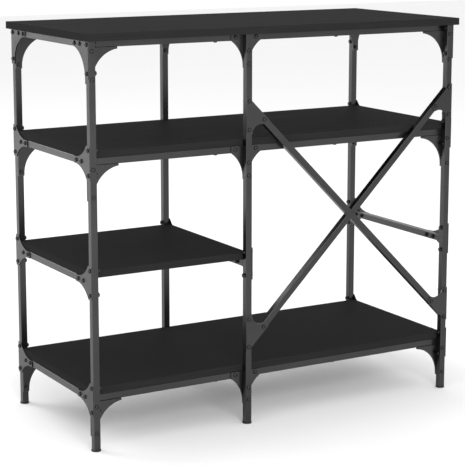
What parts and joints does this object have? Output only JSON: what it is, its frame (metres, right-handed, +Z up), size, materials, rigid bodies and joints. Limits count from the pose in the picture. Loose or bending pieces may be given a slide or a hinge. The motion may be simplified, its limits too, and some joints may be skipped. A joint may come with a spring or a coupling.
{
  "type": "open storage rack with fixed shelves",
  "caption": "Open rack with a bolted black steel tube frame, dark board shelves at several levels, a cross brace over the wide bay and levelling feet.",
  "frame": {"origin": "on the floor, under the middle of the rack", "axes": "+Z up, +X along the width towards the wide bay, -Y towards the front with the cross brace"},
  "size_m": [0.9, 0.4, 0.84],
  "materials": {
    "frame_steel": "dark grey powder coat, semi-gloss",
    "board": "matte black melamine foil on particle board",
    "black_fastener": "black oxide",
    "foot_plastic": "moulded black",
    "insert_plastic": "moulded black",
    "zinc_steel": "zinc plated"
  },
  "bodies": {
    "rack": {"bolt_nuts": "black_fastener", "bottom_shelf": "board", "brace_bar_long": "frame_steel", "brace_bar_lower": "frame_steel", "brace_bar_upper": "frame_steel", "brace_bolts": "black_fastener", "brace_plates": "frame_steel", "corner_plates_left_back": "frame_steel", "corner_plates_left_front": "frame_steel", "corner_plates_right_back": "frame_steel", "corner_plates_right_front": "frame_steel", "foot_inserts": "insert_plastic", "long_rail_back_bottom": "frame_steel", "long_rail_back_top": "frame_steel", "long_rail_back_upper": "frame_steel", "long_rail_front_bottom": "frame_steel", "long_rail_front_top": "frame_steel", "long_rail_front_upper": "frame_steel", "middle_shelf": "board", "post_left_back": "frame_steel", "post_left_front": "frame_steel", "post_mid_back": "frame_steel", "post_mid_front": "frame_steel", "post_right_back": "frame_steel", "post_right_front": "frame_steel", "rail_bolts": "black_fastener", "shelf_screws": "black_fastener", "side_bolts": "black_fastener", "side_plates_left_back": "frame_steel", "side_plates_left_front": "frame_steel", "side_plates_mid_back": "frame_steel", "side_plates_mid_front": "frame_steel", "side_plates_right_back": "frame_steel", "side_plates_right_front": "frame_steel", "side_rail_left_bottom": "frame_steel", "side_rail_left_middle": "frame_steel", "side_rail_left_top": "frame_steel", "side_rail_left_upper": "frame_steel", "side_rail_mid_middle": "frame_steel", "side_rail_right_bottom": "frame_steel", "side_rail_right_middle": "frame_steel", "side_rail_right_top": "frame_steel", "side_rail_right_upper": "frame_steel", "tee_plates_back": "frame_steel", "tee_plates_front": "frame_steel", "top_board": "board", "upper_shelf": "board"},
    "pad_left_front": {"foot_pad_left_front": "foot_plastic"},
    "stem_left_front": {"foot_stem_left_front": "zinc_steel"},
    "pad_left_back": {"foot_pad_left_back": "foot_plastic"},
    "stem_left_back": {"foot_stem_left_back": "zinc_steel"},
    "pad_mid_front": {"foot_pad_mid_front": "foot_plastic"},
    "stem_mid_front": {"foot_stem_mid_front": "zinc_steel"},
    "pad_mid_back": {"foot_pad_mid_back": "foot_plastic"},
    "stem_mid_back": {"foot_stem_mid_back": "zinc_steel"},
    "pad_right_front": {"foot_pad_right_front": "foot_plastic"},
    "stem_right_front": {"foot_stem_right_front": "zinc_steel"},
    "pad_right_back": {"foot_pad_right_back": "foot_plastic"},
    "stem_right_back": {"foot_stem_right_back": "zinc_steel"}
  },
  "joints": [
    {"name": "foot_left_front_drop", "type": "slide", "parent": "rack", "child": "pad_left_front", "axis": [0, 0, -1], "range_m": [0, 0.008]},
    {"name": "foot_left_front_turn", "type": "hinge", "parent": "pad_left_front", "child": "stem_left_front", "pos_m": [-0.433, -0.183, 0.0015], "axis": [0, 0, -1], "range_deg": [0, 2880.01]},
    {"name": "foot_left_back_drop", "type": "slide", "parent": "rack", "child": "pad_left_back", "axis": [0, 0, -1], "range_m": [0, 0.008]},
    {"name": "foot_left_back_turn", "type": "hinge", "parent": "pad_left_back", "child": "stem_left_back", "pos_m": [-0.433, 0.183, 0.0015], "axis": [0, 0, -1], "range_deg": [0, 2880.01]},
    {"name": "foot_mid_front_drop", "type": "slide", "parent": "rack", "child": "pad_mid_front", "axis": [0, 0, -1], "range_m": [0, 0.008]},
    {"name": "foot_mid_front_turn", "type": "hinge", "parent": "pad_mid_front", "child": "stem_mid_front", "pos_m": [-0.0796, -0.183, 0.0015], "axis": [0, 0, -1], "range_deg": [0, 2880.01]},
    {"name": "foot_mid_back_drop", "type": "slide", "parent": "rack", "child": "pad_mid_back", "axis": [0, 0, -1], "range_m": [0, 0.008]},
    {"name": "foot_mid_back_turn", "type": "hinge", "parent": "pad_mid_back", "child": "stem_mid_back", "pos_m": [-0.0796, 0.183, 0.0015], "axis": [0, 0, -1], "range_deg": [0, 2880.01]},
    {"name": "foot_right_front_drop", "type": "slide", "parent": "rack", "child": "pad_right_front", "axis": [0, 0, -1], "range_m": [0, 0.008]},
    {"name": "foot_right_front_turn", "type": "hinge", "parent": "pad_right_front", "child": "stem_right_front", "pos_m": [0.433, -0.183, 0.0015], "axis": [0, 0, -1], "range_deg": [0, 2880.01]},
    {"name": "foot_right_back_drop", "type": "slide", "parent": "rack", "child": "pad_right_back", "axis": [0, 0, -1], "range_m": [0, 0.008]},
    {"name": "foot_right_back_turn", "type": "hinge", "parent": "pad_right_back", "child": "stem_right_back", "pos_m": [0.433, 0.183, 0.0015], "axis": [0, 0, -1], "range_deg": [0, 2880.01]}
  ],
  "couplings": [
    {"joint": "foot_left_front_turn", "follows": "foot_left_front_drop", "rad_per_m": 6283.2},
    {"joint": "foot_left_back_turn", "follows": "foot_left_back_drop", "rad_per_m": 6283.2},
    {"joint": "foot_mid_front_turn", "follows": "foot_mid_front_drop", "rad_per_m": 6283.2},
    {"joint": "foot_mid_back_turn", "follows": "foot_mid_back_drop", "rad_per_m": 6283.2},
    {"joint": "foot_right_front_turn", "follows": "foot_right_front_drop", "rad_per_m": 6283.2},
    {"joint": "foot_right_back_turn", "follows": "foot_right_back_drop", "rad_per_m": 6283.2}
  ]
}
